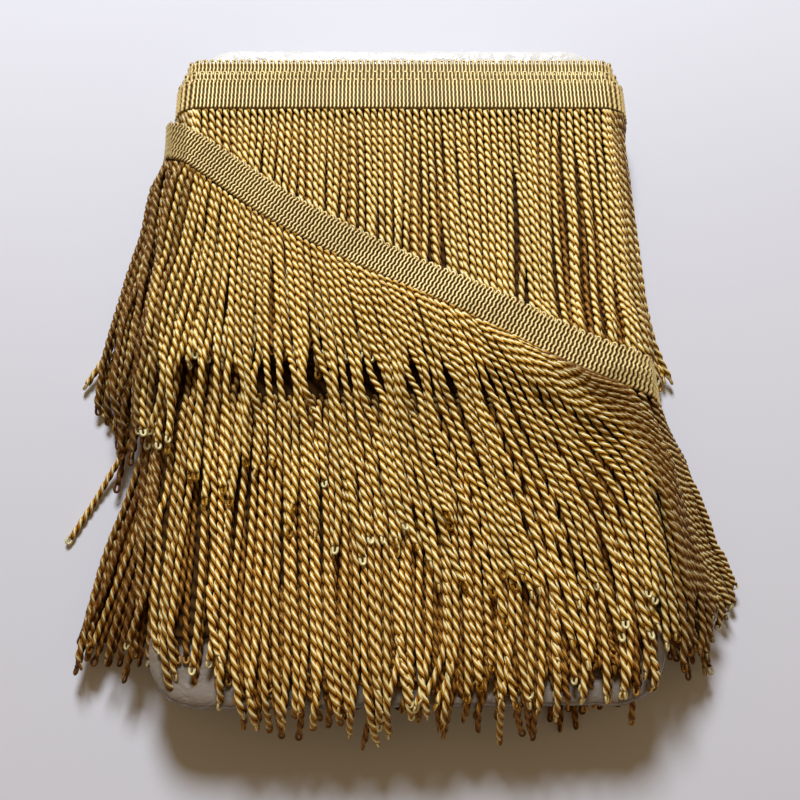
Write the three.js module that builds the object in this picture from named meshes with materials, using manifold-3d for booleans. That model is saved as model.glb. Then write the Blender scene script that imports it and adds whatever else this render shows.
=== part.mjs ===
// Bullion fringe trim wound in two tiers round a flat card, lying on its back.
// Millimetres, +Z up. +Y points to the card's far end, where the upper tier's headings are.
// Every heading runs round the card, and its twisted cords hang from it towards -Y.
import * as THREE from "three";
import { mergeVertices } from "three/addons/utils/BufferGeometryUtils.js";
import Module from "manifold-3d";

const wasm = await Module();
wasm.setup();

// Driving dimensions.
const cardWidth = 210;
const cardLength = 318;
const cardThickness = 10;
const cardCornerRadius = 22;
const cardUnderside = 18; // the windings on the back lift the card this far off the table
const headingWidth = 17;
const headingThickness = 1.8;
const cordRadius = 1.6;
const cordPitch = 3.7; // one cord to every two ribs of the heading
const gap = 0.3; // between pieces that touch
const stripWidth = 3; // the cords' roots, along a heading's lower edge
const stripThickness = 2;
const shoulderRadius = 10;
const shoulderShare = 0.45; // a thin section's shoulder, as a share of its height
const roundness = 0.29; // how far in a round corner's middle lies, in radii
const flankStart = 0.12; // how far towards the foot a flank starts, below its shoulder
const footRadius = 3;
const cordsOnSide = 9; // cords between the pack's shoulder and its foot, on each side
const cordLift = gap + 0.5 * cordRadius + 0.3; // a cord's middle above what it lies on
const sideLift = 1.4; // more of it down the sides, where a cord's corner faces the pack
const cordOnTable = 0.5 * cordRadius; // a cord's middle where its flat side is on the table
const rootReach = 8; // how far a cord runs straight on from its root

// The upper tier's turns, each heading a little nearer to the middle than the one below it.
const headingEdges = { first: 149.5, second: 141, outer: 134.6 };
const headingStep = headingThickness + gap;
const upperRootY = headingEdges.outer - headingWidth - gap - 0.5 * stripWidth;
const upperEndY = -12; // where the upper tier's inner turns end
const upperTipY = -25;
const upperSideTipY = -11;
// The lower tier's turns.
const lowerRootY = -16.5;
const lowerStartY = -26;
const lowerEndY = -137;
const lowerTipY = -143;
const lowerDroop = 15; // how much further the middle cords reach
const backReach = 96;
const backTipY = -157;
const backBulge = { reach: 10, x: 20, width: 60 }; // the middle ones reach further out
const backRise = 4.5; // how far a back cord drops while it is still under the root strip
const crossingSlant = 1.1; // the crossing heading's width along Y, in heading widths
const crossingReach = 1.93; // how far round both sides the crossing turn shows
const crossingSpread = 3.5; // the least distance between two of its cords
const crossingStations = 26; // sections along the crossing turn's bands
const searchStep = 0.005; // of q, when its cords are spaced
const unevenTips = { upper: 2.5, lower: 4, crossing: 3 }; // how uneven the cords' ends are
const leanAcross = 0.02; // how far the cords lean sideways, in q

const finish = { roughness: 0.45, metalness: 0.1 };
const colours = {
  card: 0xe9e6e0,
  heading: 0xb89a52,
  upper: 0xb8934a,
  lower: 0xa67c32,
  crossing: 0xb08a3e,
  windings: 0x7a5722,
};

// Sections across the pack, from the far end to the near end: the heights of its top and
// underside, and its half-widths at the shoulders and at the feet, left and right.
const upperTier = [
  { y: 134, top: 30.2, bottom: 15.8, left: 107.2, leftFoot: 107.2, right: 107.2, rightFoot: 107.2 },
  { y: 112, top: 31.4, bottom: 13, left: 107.6, leftFoot: 108, right: 107.6, rightFoot: 108 },
  { y: 88, top: 34.4, bottom: 0, left: 107, leftFoot: 117, right: 107, rightFoot: 111 },
  { y: 14, top: 35.2, bottom: 0, left: 107, leftFoot: 127, right: 107, rightFoot: 115 },
  { y: 0, top: 40, bottom: 0, left: 107, leftFoot: 128, right: 107, rightFoot: 118 },
  { y: -26, top: 40, bottom: 0, left: 107, leftFoot: 130, right: 107, rightFoot: 121 },
];
const lowerTier = [
  { y: 0, top: 30.3, bottom: 15.7, left: 107.3, leftFoot: 107.3, right: 107.3, rightFoot: 107.3 },
  { y: -26, top: 30.3, bottom: 15.7, left: 107.3, leftFoot: 107.3, right: 107.3, rightFoot: 107.3 },
  { y: -38, top: 34.2, bottom: 5, left: 107, leftFoot: 117, right: 107, rightFoot: 114 },
  { y: -60, top: 34.4, bottom: 3.8, left: 106.8, leftFoot: 124, right: 106.8, rightFoot: 118 },
  { y: -114, top: 34.4, bottom: 3.8, left: 105.8, leftFoot: 134.6, right: 105.8, rightFoot: 129.6 },
  { y: -146, top: 32.2, bottom: 5, left: 102, leftFoot: 139, right: 102, rightFoot: 132 },
];
// What the crossing turn lies on: the outermost cords of both tiers.
const crossingBed = [
  { y: 118, top: 37.8, bottom: 8, left: 114.4, leftFoot: 115, right: 114.4, rightFoot: 115 },
  { y: 88, top: 37.8, bottom: 0, left: 111.6, leftFoot: 123, right: 111.6, rightFoot: 117 },
  { y: 36, top: 38.6, bottom: 0, left: 111.4, leftFoot: 135, right: 111.4, rightFoot: 120 },
  { y: 10, top: 43.8, bottom: 0, left: 111.4, leftFoot: 141, right: 111.4, rightFoot: 123 },
  { y: -26, top: 43.8, bottom: 0, left: 111.4, leftFoot: 143, right: 111.4, rightFoot: 126 },
  { y: -42, top: 40.2, bottom: 0, left: 111.4, leftFoot: 136, right: 111.4, rightFoot: 127 },
  { y: -60, top: 38.2, bottom: 0, left: 111, leftFoot: 133, right: 111, rightFoot: 129 },
  { y: -114, top: 38, bottom: 0, left: 110, leftFoot: 141, right: 110, rightFoot: 140 },
  { y: -150, top: 36.4, bottom: 0, left: 106, leftFoot: 145, right: 106, rightFoot: 140 },
];
// The crossing turn: where its heading's upper edge runs, and where the cords below it end.
// q counts across the pack: 0 at the middle, 1 at the shoulder, 2 at the foot, left is negative.
const crossingTurn = [
  { q: -1.95, edgeY: 112, tipQ: -1.98, tipY: -10 },
  { q: -1.5, edgeY: 112, tipQ: -1.84, tipY: -24 },
  { q: -1, edgeY: 106, tipQ: -1.5, tipY: -44 },
  { q: -0.76, edgeY: 86, tipQ: -0.98, tipY: -62 },
  { q: -0.49, edgeY: 65, tipQ: -0.52, tipY: -90 },
  { q: -0.02, edgeY: 37.5, tipQ: 0.16, tipY: -116 },
  { q: 0.43, edgeY: 14, tipQ: 0.82, tipY: -136 },
  { q: 0.75, edgeY: -4, tipQ: 1.3, tipY: -146 },
  { q: 1, edgeY: -14.5, tipQ: 1.62, tipY: -140 },
  { q: 1.4, edgeY: -19, tipQ: 1.85, tipY: -126 },
  { q: 1.95, edgeY: -20, tipQ: 1.98, tipY: -104 },
];

const clamp = THREE.MathUtils.clamp;
const lerp = THREE.MathUtils.lerp;

// The rows' named columns at a value of one of them, read in straight lines between rows.
function readRows(rows, key, value) {
  const falling = rows[0][key] > rows[rows.length - 1][key];
  const first = rows.findIndex((row) => (falling ? row[key] < value : row[key] > value));
  const next = first < 0 ? rows.length - 1 : Math.max(first, 1);
  const before = rows[next - 1];
  const after = rows[next];
  const share = clamp((value - before[key]) / (after[key] - before[key]), 0, 1);
  const read = {};
  for (const column of Object.keys(before)) {
    read[column] = lerp(before[column], after[column], share);
  }
  read[key] = value;
  return read;
}

// A section pushed outwards all round.
function grown(row, by) {
  return {
    ...row,
    top: row.top + by,
    bottom: row.bottom - by,
    left: row.left + by,
    leftFoot: row.leftFoot + by,
    right: row.right + by,
    rightFoot: row.rightFoot + by,
  };
}

// One side of a section, from the end of its flat top, round the shoulder and down to the foot.
function flank(row, side) {
  const width = side < 0 ? row.left : row.right;
  const foot = side < 0 ? row.leftFoot : row.rightFoot;
  const shoulder = Math.min(shoulderRadius, shoulderShare * (row.top - row.bottom));
  const splay = clamp((foot - width) / shoulderRadius, 0, 1);
  const heel = lerp(shoulder, footRadius, splay);
  return {
    heel,
    points: [
      new THREE.Vector2(width - shoulder, row.top),
      new THREE.Vector2(width - roundness * shoulder, row.top - roundness * shoulder),
      new THREE.Vector2(width + flankStart * (foot - width), row.top - shoulder),
      new THREE.Vector2(foot, row.bottom + heel),
    ],
  };
}

// A whole section as a closed outline, clockwise as seen from the near end.
function outline(row) {
  const points = [];
  for (const side of [-1, 1]) {
    const { heel, points: down } = flank(row, side);
    const foot = down[3].x;
    const half = [
      ...down,
      new THREE.Vector2(foot - roundness * heel, row.bottom + roundness * heel),
      new THREE.Vector2(foot - heel, row.bottom),
    ];
    const placed = half.map((point) => new THREE.Vector3(side * point.x, row.y, point.y));
    points.push(...(side < 0 ? placed.reverse() : placed));
  }
  return points;
}

// A closed body through rings of as many points each, with flat ends. Each four-sided face
// is split along its shorter diagonal.
function loft(rings) {
  const count = rings[0].length;
  const positions = rings.flat().flatMap((point) => point.toArray());
  const faces = [];
  for (let ring = 0; ring + 1 < rings.length; ring += 1) {
    for (let i = 0; i < count; i += 1) {
      const next = (i + 1) % count;
      const a = ring * count + i;
      const b = ring * count + next;
      const down = rings[ring][i].distanceTo(rings[ring + 1][next]);
      const up = rings[ring][next].distanceTo(rings[ring + 1][i]);
      if (up < down) faces.push(a, a + count, b, b, a + count, b + count);
      else faces.push(a, a + count, b + count, a, b + count, b);
    }
  }
  const last = (rings.length - 1) * count;
  for (let i = 1; i + 1 < count; i += 1) {
    faces.push(0, i, i + 1, last, last + i + 1, last + i);
  }
  const geometry = new THREE.BufferGeometry();
  geometry.setAttribute("position", new THREE.Float32BufferAttribute(positions, 3));
  geometry.setIndex(faces);
  return geometry;
}

// A three.js geometry as a solid that can be joined and cut, with its faces turned outwards.
function solid(geometry) {
  const bare = geometry.clone();
  bare.deleteAttribute("normal");
  bare.deleteAttribute("uv");
  const merged = mergeVertices(bare, 1e-3);
  const made = new wasm.Manifold(
    new wasm.Mesh({
      numProp: 3,
      vertProperties: new Float32Array(merged.attributes.position.array),
      triVerts: new Uint32Array(merged.index.array),
    }),
  );
  if (made.volume() > 0) return made;
  const turned = merged.index.array;
  for (let i = 0; i < turned.length; i += 3) {
    [turned[i + 1], turned[i + 2]] = [turned[i + 2], turned[i + 1]];
  }
  return solid(merged);
}

function geometryOf(made) {
  const mesh = made.getMesh();
  const geometry = new THREE.BufferGeometry();
  geometry.setAttribute("position", new THREE.BufferAttribute(mesh.vertProperties, 3));
  geometry.setIndex(new THREE.BufferAttribute(mesh.triVerts, 1));
  const faceted = geometry.toNonIndexed();
  faceted.computeVertexNormals();
  return faceted;
}

// A body through a tier's sections between two places along Y.
function tierBody(rows, from, to, grow) {
  const inside = rows.map((row) => row.y).filter((y) => y < from && y > to);
  const stations = [from, ...inside, to];
  return solid(loft(stations.map((y) => outline(grown(readRows(rows, "y", y), grow)))));
}

// A band that runs all round the pack, of a given thickness from a lift above the sections.
function band(rows, from, to, lift, thickness) {
  const outer = tierBody(rows, from, to, lift + thickness);
  return outer.subtract(tierBody(rows, from + 1, to - 1, lift));
}

// A point on the pack at q and y, lifted off its surface.
function packPoint(rows, q, y, lift) {
  const row = readRows(rows, "y", y);
  const side = q < 0 ? -1 : 1;
  const across = Math.abs(q);
  const { points } = flank(row, side);
  if (across <= 1) {
    return new THREE.Vector3(side * across * points[0].x, y, row.top + lift);
  }
  const lengths = points.slice(1).map((point, i) => point.distanceTo(points[i]));
  let along = (across - 1) * lengths.reduce((sum, length) => sum + length, 0);
  let piece = 0;
  while (piece < lengths.length - 1 && along > lengths[piece]) {
    along -= lengths[piece];
    piece += 1;
  }
  const here = points[piece].clone().lerp(points[piece + 1], along / lengths[piece]);
  const slope = points[3].clone().sub(points[1]).normalize();
  const turn = clamp((across - 1) * 4, 0, 1);
  const outward = new THREE.Vector2(-slope.y, slope.x).lerp(new THREE.Vector2(0, 1), 1 - turn);
  outward.normalize().multiplyScalar(lift);
  return new THREE.Vector3(side * (here.x + outward.x), y, here.y + outward.y);
}

// A cord's line, straight from point to point, whose sections keep one side level.
class CordLine extends THREE.Curve {
  constructor(points) {
    super();
    this.points = points;
  }

  getPointAt(share) {
    const place = share * (this.points.length - 1);
    const i = Math.min(Math.floor(place), this.points.length - 2);
    return this.points[i].clone().lerp(this.points[i + 1], place - i);
  }

  computeFrenetFrames(segments) {
    const frames = { tangents: [], normals: [], binormals: [] };
    const up = new THREE.Vector3(0, 0, 1);
    for (let i = 0; i <= segments; i += 1) {
      const before = this.points[Math.max(i - 1, 0)];
      const after = this.points[Math.min(i + 1, segments)];
      const tangent = after.clone().sub(before).normalize();
      const across = new THREE.Vector3().crossVectors(tangent, up).normalize();
      frames.tangents.push(tangent);
      frames.normals.push(across);
      frames.binormals.push(new THREE.Vector3().crossVectors(tangent, across));
    }
    return frames;
  }
}

const cordSection = new THREE.Shape(
  [90, 210, 330].map((degrees) => {
    const angle = THREE.MathUtils.degToRad(degrees);
    return new THREE.Vector2(cordRadius * Math.cos(angle), -cordRadius * Math.sin(angle));
  }),
);

function cord(points) {
  return solid(new THREE.ExtrudeGeometry(cordSection, {
    steps: points.length - 1,
    bevelEnabled: false,
    extrudePath: new CordLine(points),
  }));
}

// An uneven amount between -1 and 1, the same each time.
function uneven(index) {
  const value = Math.sin(index * 12.9898 + 4.1) * 43758.5453;
  return 2 * (value - Math.floor(value)) - 1;
}

// The q of every cord of a turn that runs level round the front and both sides.
function cordPlaces(rows, y) {
  const flat = flank(readRows(rows, "y", y), 1).points[0].x;
  const onHalf = Math.floor(flat / cordPitch);
  const places = [];
  for (let i = -onHalf; i <= onHalf; i += 1) places.push((i * cordPitch) / flat);
  for (let i = 1; i <= cordsOnSide; i += 1) {
    places.push(1 + i / (cordsOnSide + 0.4), -1 - i / (cordsOnSide + 0.4));
  }
  return places.sort((a, b) => a - b);
}

// The line of a cord from its root to its tip, over the sections it lies on.
function cordPoints(rows, root, tip, rootLift) {
  const between = rows.map((row) => row.y)
    .filter((y) => y < root.y - rootReach && y > tip.y + rootReach);
  return [root.y, ...between, tip.y].map((y) => {
    const q = lerp(root.q, tip.q, (root.y - y) / (root.y - tip.y));
    const lift = cordLift + sideLift * clamp(4 * (Math.abs(q) - 1), 0, 1);
    const point = packPoint(rows, q, y, y === root.y ? rootLift : lift);
    point.z = Math.max(point.z, cordOnTable);
    return point;
  });
}

function upperFringe() {
  const from = upperRootY + 0.5 * stripWidth;
  const strip = band(upperTier, from, from - stripWidth, 2 * headingStep, stripThickness);
  const rootLift = 2 * headingStep + 0.5 * cordRadius;
  const cords = cordPlaces(upperTier, upperRootY).map((q, i) => {
    const tipY = (Math.abs(q) > 1 ? upperSideTipY : upperTipY) + unevenTips.upper * uneven(i);
    const tipQ = clamp(q + leanAcross * Math.sin(5 * q + 0.8), -2, 2);
    return cord(cordPoints(upperTier, { q, y: upperRootY }, { q: tipQ, y: tipY }, rootLift));
  });
  return wasm.Manifold.union([strip, ...cords]);
}

// The lower tier's cords on the back, which come down to the table and lie on it.
function backCord(x, index) {
  const bulge = Math.exp(-(((x - backBulge.x) / backBulge.width) ** 2));
  const tipY = backTipY - backBulge.reach * bulge + unevenTips.lower * uneven(index);
  const rootZ = readRows(lowerTier, "y", lowerRootY).bottom;
  return cord([
    new THREE.Vector3(x, lowerRootY, rootZ),
    new THREE.Vector3(x, lowerStartY, rootZ - backRise),
    new THREE.Vector3(x, lowerStartY - 11, cordOnTable + 0.6),
    new THREE.Vector3(x, lowerStartY - 16, cordOnTable),
    new THREE.Vector3(x, tipY, cordOnTable),
  ]);
}

// The stray cord that lies out on the table, past the left of the pack.
function strayCord() {
  return cord([
    packPoint(lowerTier, -1.8, lowerRootY, 0),
    packPoint(lowerTier, -1.84, -30, 5),
    new THREE.Vector3(-129, -48, 5),
    new THREE.Vector3(-141, -70, cordOnTable),
    new THREE.Vector3(-151.5, -89, cordOnTable),
  ]);
}

function lowerFringe() {
  const from = lowerRootY + 0.5 * stripWidth;
  const strip = band(lowerTier, from, from - stripWidth, -stripThickness, stripThickness);
  const cords = cordPlaces(lowerTier, lowerRootY).map((q, i) => {
    const middle = 1 - clamp((Math.abs(q - 0.1) - 0.35) / 0.5, 0, 1);
    const tipY = lowerTipY - lowerDroop * middle + unevenTips.lower * uneven(i + 40);
    const tipQ = clamp(q + leanAcross * Math.sin(4 * q), -2, 2);
    return cord(cordPoints(lowerTier, { q, y: lowerRootY }, { q: tipQ, y: tipY }, 0));
  });
  const onHalf = Math.floor(backReach / (2 * cordPitch));
  const backCords = [];
  for (let i = -onHalf; i <= onHalf; i += 1) backCords.push(backCord(2 * i * cordPitch, i + 90));
  return wasm.Manifold.union([strip, ...cords, ...backCords, strayCord()]);
}

// A strip of the crossing turn, between two distances below its heading's upper edge.
function crossingStrip(from, to, thickness) {
  const rings = [];
  for (let i = 0; i <= crossingStations; i += 1) {
    const q = lerp(-crossingReach, crossingReach, i / crossingStations);
    const { edgeY } = readRows(crossingTurn, "q", q);
    const middle = edgeY - 0.5 * (from + to);
    rings.push([
      packPoint(crossingBed, q, edgeY - from, gap),
      packPoint(crossingBed, q, edgeY - from, gap + thickness),
      packPoint(crossingBed, q, middle, gap + thickness),
      packPoint(crossingBed, q, edgeY - to, gap + thickness),
      packPoint(crossingBed, q, edgeY - to, gap),
      packPoint(crossingBed, q, middle, gap),
    ]);
  }
  return solid(loft(rings));
}

function crossingEnds(q) {
  const turn = readRows(crossingTurn, "q", q);
  const rootY = turn.edgeY - crossingSlant * headingWidth - gap - 0.5 * stripWidth;
  return { root: { q, y: rootY }, tip: { q: turn.tipQ, y: turn.tipY } };
}

// How far apart two cords of the crossing turn are, across their run, at root or tip.
function crossingDistance(q, other, end) {
  const here = crossingEnds(q);
  const there = crossingEnds(other);
  const point = (ends, at) => packPoint(crossingBed, ends[at].q, ends[at].y, cordLift);
  const run = point(here, "tip").sub(point(here, "root")).normalize();
  const step = point(there, end).sub(point(here, end));
  return step.addScaledVector(run, -step.dot(run)).length();
}

function crossingFringe() {
  const from = crossingSlant * headingWidth + gap;
  const cords = [];
  let last = -crossingReach - 0.1;
  for (let q = -crossingReach + 0.01; q < crossingReach; q += searchStep) {
    const apart = Math.min(crossingDistance(q, last, "root"), crossingDistance(q, last, "tip"));
    if (apart < crossingSpread) continue;
    const { root, tip } = crossingEnds(q);
    tip.y += unevenTips.crossing * uneven(cords.length + 7);
    cords.push(cord(cordPoints(crossingBed, root, tip, cordLift)));
    last = q;
  }
  const strip = crossingStrip(from, from + stripWidth, stripThickness);
  return wasm.Manifold.union([strip, ...cords]);
}

function cardSolid(grow) {
  const width = cardWidth / 2 + grow;
  const length = cardLength / 2 + grow;
  const corner = cardCornerRadius + grow;
  const shape = new THREE.Shape();
  shape.moveTo(-width + corner, -length);
  shape.absarc(width - corner, -length + corner, corner, -Math.PI / 2, 0);
  shape.absarc(width - corner, length - corner, corner, 0, Math.PI / 2);
  shape.absarc(-width + corner, length - corner, corner, Math.PI / 2, Math.PI);
  shape.absarc(-width + corner, -length + corner, corner, Math.PI, 1.5 * Math.PI);
  const board = new THREE.ExtrudeGeometry(shape, {
    depth: cardThickness + 2 * grow,
    bevelEnabled: false,
    curveSegments: 6,
  });
  board.translate(0, 0, cardUnderside - grow);
  return solid(board);
}

function heading(edge, step) {
  const y = headingEdges[edge];
  return band(upperTier, y, y - headingWidth, step * headingStep - headingThickness,
    headingThickness);
}

// The inner turns' cords, which start below each heading and make two steps at the far end.
function upperWindings(hollow) {
  const firstEnd = headingEdges.first - headingWidth - gap;
  const secondEnd = headingEdges.second - headingWidth - gap;
  const stripEnd = upperRootY - 0.5 * stripWidth;
  return wasm.Manifold.union([
    tierBody(upperTier, firstEnd, upperEndY, 0),
    tierBody(upperTier, secondEnd, stripEnd, headingStep),
  ]).subtract(hollow);
}

const group = new THREE.Group();

function place(name, made, color) {
  const material = new THREE.MeshStandardMaterial({ ...finish, color });
  const mesh = new THREE.Mesh(geometryOf(made), material);
  mesh.name = name;
  group.add(mesh);
}

const hollow = cardSolid(gap);
place("card", cardSolid(0), colours.card);
place("lower_windings", tierBody(lowerTier, lowerStartY, lowerEndY, 0).subtract(hollow),
  colours.windings);
place("upper_windings", upperWindings(hollow), colours.windings);
place("first_heading", heading("first", 0).subtract(hollow), colours.heading);
place("second_heading", heading("second", 1), colours.heading);
place("outer_heading", heading("outer", 2), colours.heading);
place("upper_fringe", upperFringe(), colours.upper);
place("lower_fringe", lowerFringe().subtract(hollow), colours.lower);
place("crossing_heading",
  crossingStrip(0, crossingSlant * headingWidth, headingThickness), colours.heading);
place("crossing_fringe", crossingFringe(), colours.crossing);

// The origin is at the middle of the part's box, on the table.
const box = new THREE.Box3().setFromObject(group);
const middle = box.getCenter(new THREE.Vector3());
group.position.set(-middle.x, -middle.y, -box.min.z);

export default group;
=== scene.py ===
import math

import bmesh
import bpy
import numpy as np
from mathutils import Matrix, Vector, noise


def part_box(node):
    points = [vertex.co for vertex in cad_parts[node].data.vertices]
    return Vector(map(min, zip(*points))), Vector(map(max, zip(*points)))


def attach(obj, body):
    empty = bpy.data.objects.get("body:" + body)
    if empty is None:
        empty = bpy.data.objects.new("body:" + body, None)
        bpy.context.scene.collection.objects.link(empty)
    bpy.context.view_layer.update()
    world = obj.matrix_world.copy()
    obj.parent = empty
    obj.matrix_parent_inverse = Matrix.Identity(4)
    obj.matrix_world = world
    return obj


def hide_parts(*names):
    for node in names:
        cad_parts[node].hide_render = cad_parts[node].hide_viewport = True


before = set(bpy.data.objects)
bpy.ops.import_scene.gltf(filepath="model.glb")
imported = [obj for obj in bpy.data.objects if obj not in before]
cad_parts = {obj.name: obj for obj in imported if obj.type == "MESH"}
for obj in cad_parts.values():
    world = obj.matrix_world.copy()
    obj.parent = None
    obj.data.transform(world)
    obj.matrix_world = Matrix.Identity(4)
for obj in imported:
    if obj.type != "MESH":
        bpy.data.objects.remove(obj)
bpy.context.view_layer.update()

# Bullion fringe trim wound in two tiers round a card in clear film.
# Sizes are in millimetres, measured from the middle of the card, and go to metres at the end.

cardLow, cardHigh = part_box("card")
mm = 0.001
shiftX = (cardLow.x + cardHigh.x) / 2 / mm  # the card's middle in the frame
shiftY = (cardLow.y + cardHigh.y) / 2 / mm
chance = np.random.default_rng(27)


def linkedObject(name, data):
    made = bpy.data.objects.new(name, data)
    bpy.context.scene.collection.objects.link(made)
    return made


cameraSet = {"x": -8.77, "y": -161.81, "z": 404.66, "pitch": 70.76, "yaw": 2.82, "roll": 2.39,
             "lens": 40.5}
pitch, yaw, roll = (math.radians(cameraSet[k]) for k in ("pitch", "yaw", "roll"))
ahead = Vector((math.sin(yaw) * math.cos(pitch), math.cos(yaw) * math.cos(pitch), -math.sin(pitch)))
right = Vector((math.cos(yaw), -math.sin(yaw), 0))
up = right.cross(ahead)
turned = right * math.cos(roll) + up * math.sin(roll)
upright = up * math.cos(roll) - right * math.sin(roll)
camera = linkedObject("camera", bpy.data.cameras.new("camera"))
camera.data.lens = cameraSet["lens"]
camera.data.clip_start = 0.01
camera.matrix_world = Matrix((turned, upright, -ahead)).transposed().to_4x4()
camera.location = Vector((cameraSet["x"] + shiftX, cameraSet["y"] + shiftY, cameraSet["z"])) * mm
bpy.context.scene.camera = camera
print("camera placed")

# sections across the pack, far end first, as in the solids
sectionNames = ("y", "top", "bottom", "left", "leftFoot", "right", "rightFoot")
upperTier = (
    (151, 30.2, 15.8, 107.2, 107.2, 107.2, 107.2),
    (134, 30.2, 15.8, 107.2, 107.2, 107.2, 107.2),
    (112, 31.4, 13, 107.6, 108, 107.6, 108),
    (88, 34.4, 0, 107, 117, 107, 111),
    (14, 35.2, 0, 107, 127, 107, 115),
    (0, 40, 0, 107, 128, 107, 118),
    (-26, 40, 0, 107, 130, 107, 121),
)
lowerTier = (
    (0, 30.3, 15.7, 107.3, 107.3, 107.3, 107.3),
    (-26, 30.3, 15.7, 107.3, 107.3, 107.3, 107.3),
    (-38, 34.2, 5, 107, 117, 107, 114),
    (-60, 34.4, 3.8, 106.8, 125, 106.8, 118),
    (-114, 34.4, 3.8, 105.8, 140, 105.8, 129.6),
    (-146, 32.2, 5, 102, 147, 102, 132),
    (-160, 28.6, 5, 101, 148, 101, 132),
    (-176, 14, 2, 100, 141, 100, 132),
)
crossingBed = (
    (118, 37.8, 8, 114.4, 115, 114.4, 115),
    (88, 37.8, 0, 111.6, 123, 110, 114),
    (36, 38.6, 0, 111.4, 135, 109, 113),
    (10, 43.8, 0, 111.4, 141, 108.2, 112),
    (-23, 43.8, 0, 111.4, 143, 108.2, 113),
    (-37, 39.6, 0, 111.4, 136, 109.5, 121),
    (-54, 38.0, 0, 111, 133, 111, 130),
    (-114, 38, 0, 110, 141, 110, 141.5),
    (-150, 36.4, 0, 106, 145, 106, 140),
)
# radii of a section's corners, at the top and at a foot that stands out, and the places of the
# points between as shares
roundSet = {"shoulder": 10, "most": 0.45, "heel": 3, "standsOut": 10, "cut": 0.29, "under": 0.12}


# one half of the section at each y: its points from the middle of the top, down the side and
# to the middle of the underside, and how far round each of them is
def halfSections(tier, side, y):
    rows = np.array(tier, float)[::-1]
    col = {name: np.interp(y, rows[:, 0], rows[:, i]) for i, name in enumerate(sectionNames)}
    width = np.where(side < 0, col["left"], col["right"])
    foot = np.where(side < 0, col["leftFoot"], col["rightFoot"])
    top, bottom = col["top"], col["bottom"]
    shoulder = np.minimum(roundSet["shoulder"], roundSet["most"] * (top - bottom))
    standsOut = np.clip((foot - width) / roundSet["standsOut"], 0, 1)
    heel = shoulder + (roundSet["heel"] - shoulder) * standsOut
    cut, under = roundSet["cut"], roundSet["under"]
    x = np.stack([0 * y, width - shoulder, width - cut * shoulder,
                  width + under * (foot - width), foot, foot - cut * heel, foot - heel, 0 * y], 1)
    z = np.stack([top, top, top - cut * shoulder, top - shoulder,
                  bottom + heel, bottom + cut * heel, bottom, bottom], 1)
    along = np.hypot(np.diff(x, axis=1), np.diff(z, axis=1))
    reach = np.concatenate([0 * y[:, None], np.cumsum(along, axis=1)], 1)
    return x, z, reach


nearlyRound = 2.9999  # q at the middle of the underside


# u is the distance round the pack from the middle of its top. q counts 0 at the middle,
# 1 at the shoulder, 2 at the foot and 3 at the middle of the underside.
def roundAt(tier, q, y):
    q, y = (np.atleast_1d(np.asarray(a, float)) for a in np.broadcast_arrays(q, y))
    marks = halfSections(tier, q, y)[2][:, [0, 1, 4, 7]]
    part = np.clip(np.abs(q).astype(int), 0, 2)
    rows = np.arange(len(q))
    low, high = marks[rows, part], marks[rows, part + 1]
    return np.sign(q) * (low + (np.abs(q) - part) * (high - low))


# points of the flat layout, u round the pack and y along it, put on the pack at a lift
def onPack(tier, u, y, lift):
    u, y, lift = (np.array(a, float) for a in np.broadcast_arrays(u, y, lift))
    x, z, reach = halfSections(tier, u, y)
    away = np.clip(np.abs(u), 0, reach[:, -1] - 1e-6)
    rows = np.arange(len(u))
    part = np.clip((away[:, None] >= reach).sum(1) - 1, 0, 6)
    share = (away - reach[rows, part]) / np.maximum(reach[rows, part + 1] - reach[rows, part], 1e-9)
    dx, dz = np.diff(x, axis=1), np.diff(z, axis=1)
    size = np.maximum(np.hypot(dx, dz), 1e-9)
    nx, nz = -dz / size, dx / size
    ends = np.zeros((len(u), 1))
    cornerX = np.concatenate([ends, nx[:, :-1] + nx[:, 1:], ends], 1)
    cornerZ = np.concatenate([ends + 1, nz[:, :-1] + nz[:, 1:], ends - 1], 1)
    outX = cornerX[rows, part] * (1 - share) + cornerX[rows, part + 1] * share
    outZ = cornerZ[rows, part] * (1 - share) + cornerZ[rows, part + 1] * share
    size = np.hypot(outX, outZ)
    outX, outZ = outX / size, outZ / size
    sign = np.where(u < 0, -1, 1)
    px = x[rows, part] + dx[rows, part] * share
    pz = z[rows, part] + dz[rows, part] * share
    place = np.stack([sign * (px + outX * lift), y, pz + outZ * lift], 1)
    return place, np.stack([sign * outX, 0 * y, outZ], 1)


# how far along a line each of its points lies
def farAlong(*axes):
    steps = np.linalg.norm([np.diff(axis) for axis in axes], axis=0)
    return np.concatenate([[0], np.cumsum(steps)])


# a line smoothed over its neighbours each way, going on past its ends as it comes to them
def eased(line, reach, ends="reflect"):
    how = {"reflect_type": "odd"} if ends == "reflect" else {}
    padded = np.pad(line, reach, mode=ends, **how)
    return np.convolve(padded, np.ones(2 * reach + 1) / (2 * reach + 1), "valid")


# the cord: two plies laid round each other, the yarn turning back in a small loop at the tip
cordSet = {
    "spacing": 3.4,     # from cord to cord
    "radius": 1.49,
    "twist": 9.6,       # one full turn
    "length": 136,
    "centre": 0.64,     # from the cord's middle to the middle of a ply
    "loopLength": 3.3,
    "loopSpread": 1.1,
    "loopPly": 0.62,    # radius
    "loopSteps": 9,
    "loopRoot": 0.5,    # how far the loop starts inside the plies
    "loopCrest": 0.85,  # how near the painted highlight line it is all round
    # one ply's outline from its groove to its crest and back, as shares of a turn and radii
    "outline": ((0.25, 0.72), (0.142, 1.34), (0.060, 1.48), (-0.060, 1.48), (-0.142, 1.34)),
    "plainOutline": ((0.25, 0.78), (0.09, 1.46), (-0.09, 1.46)),
}


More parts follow.
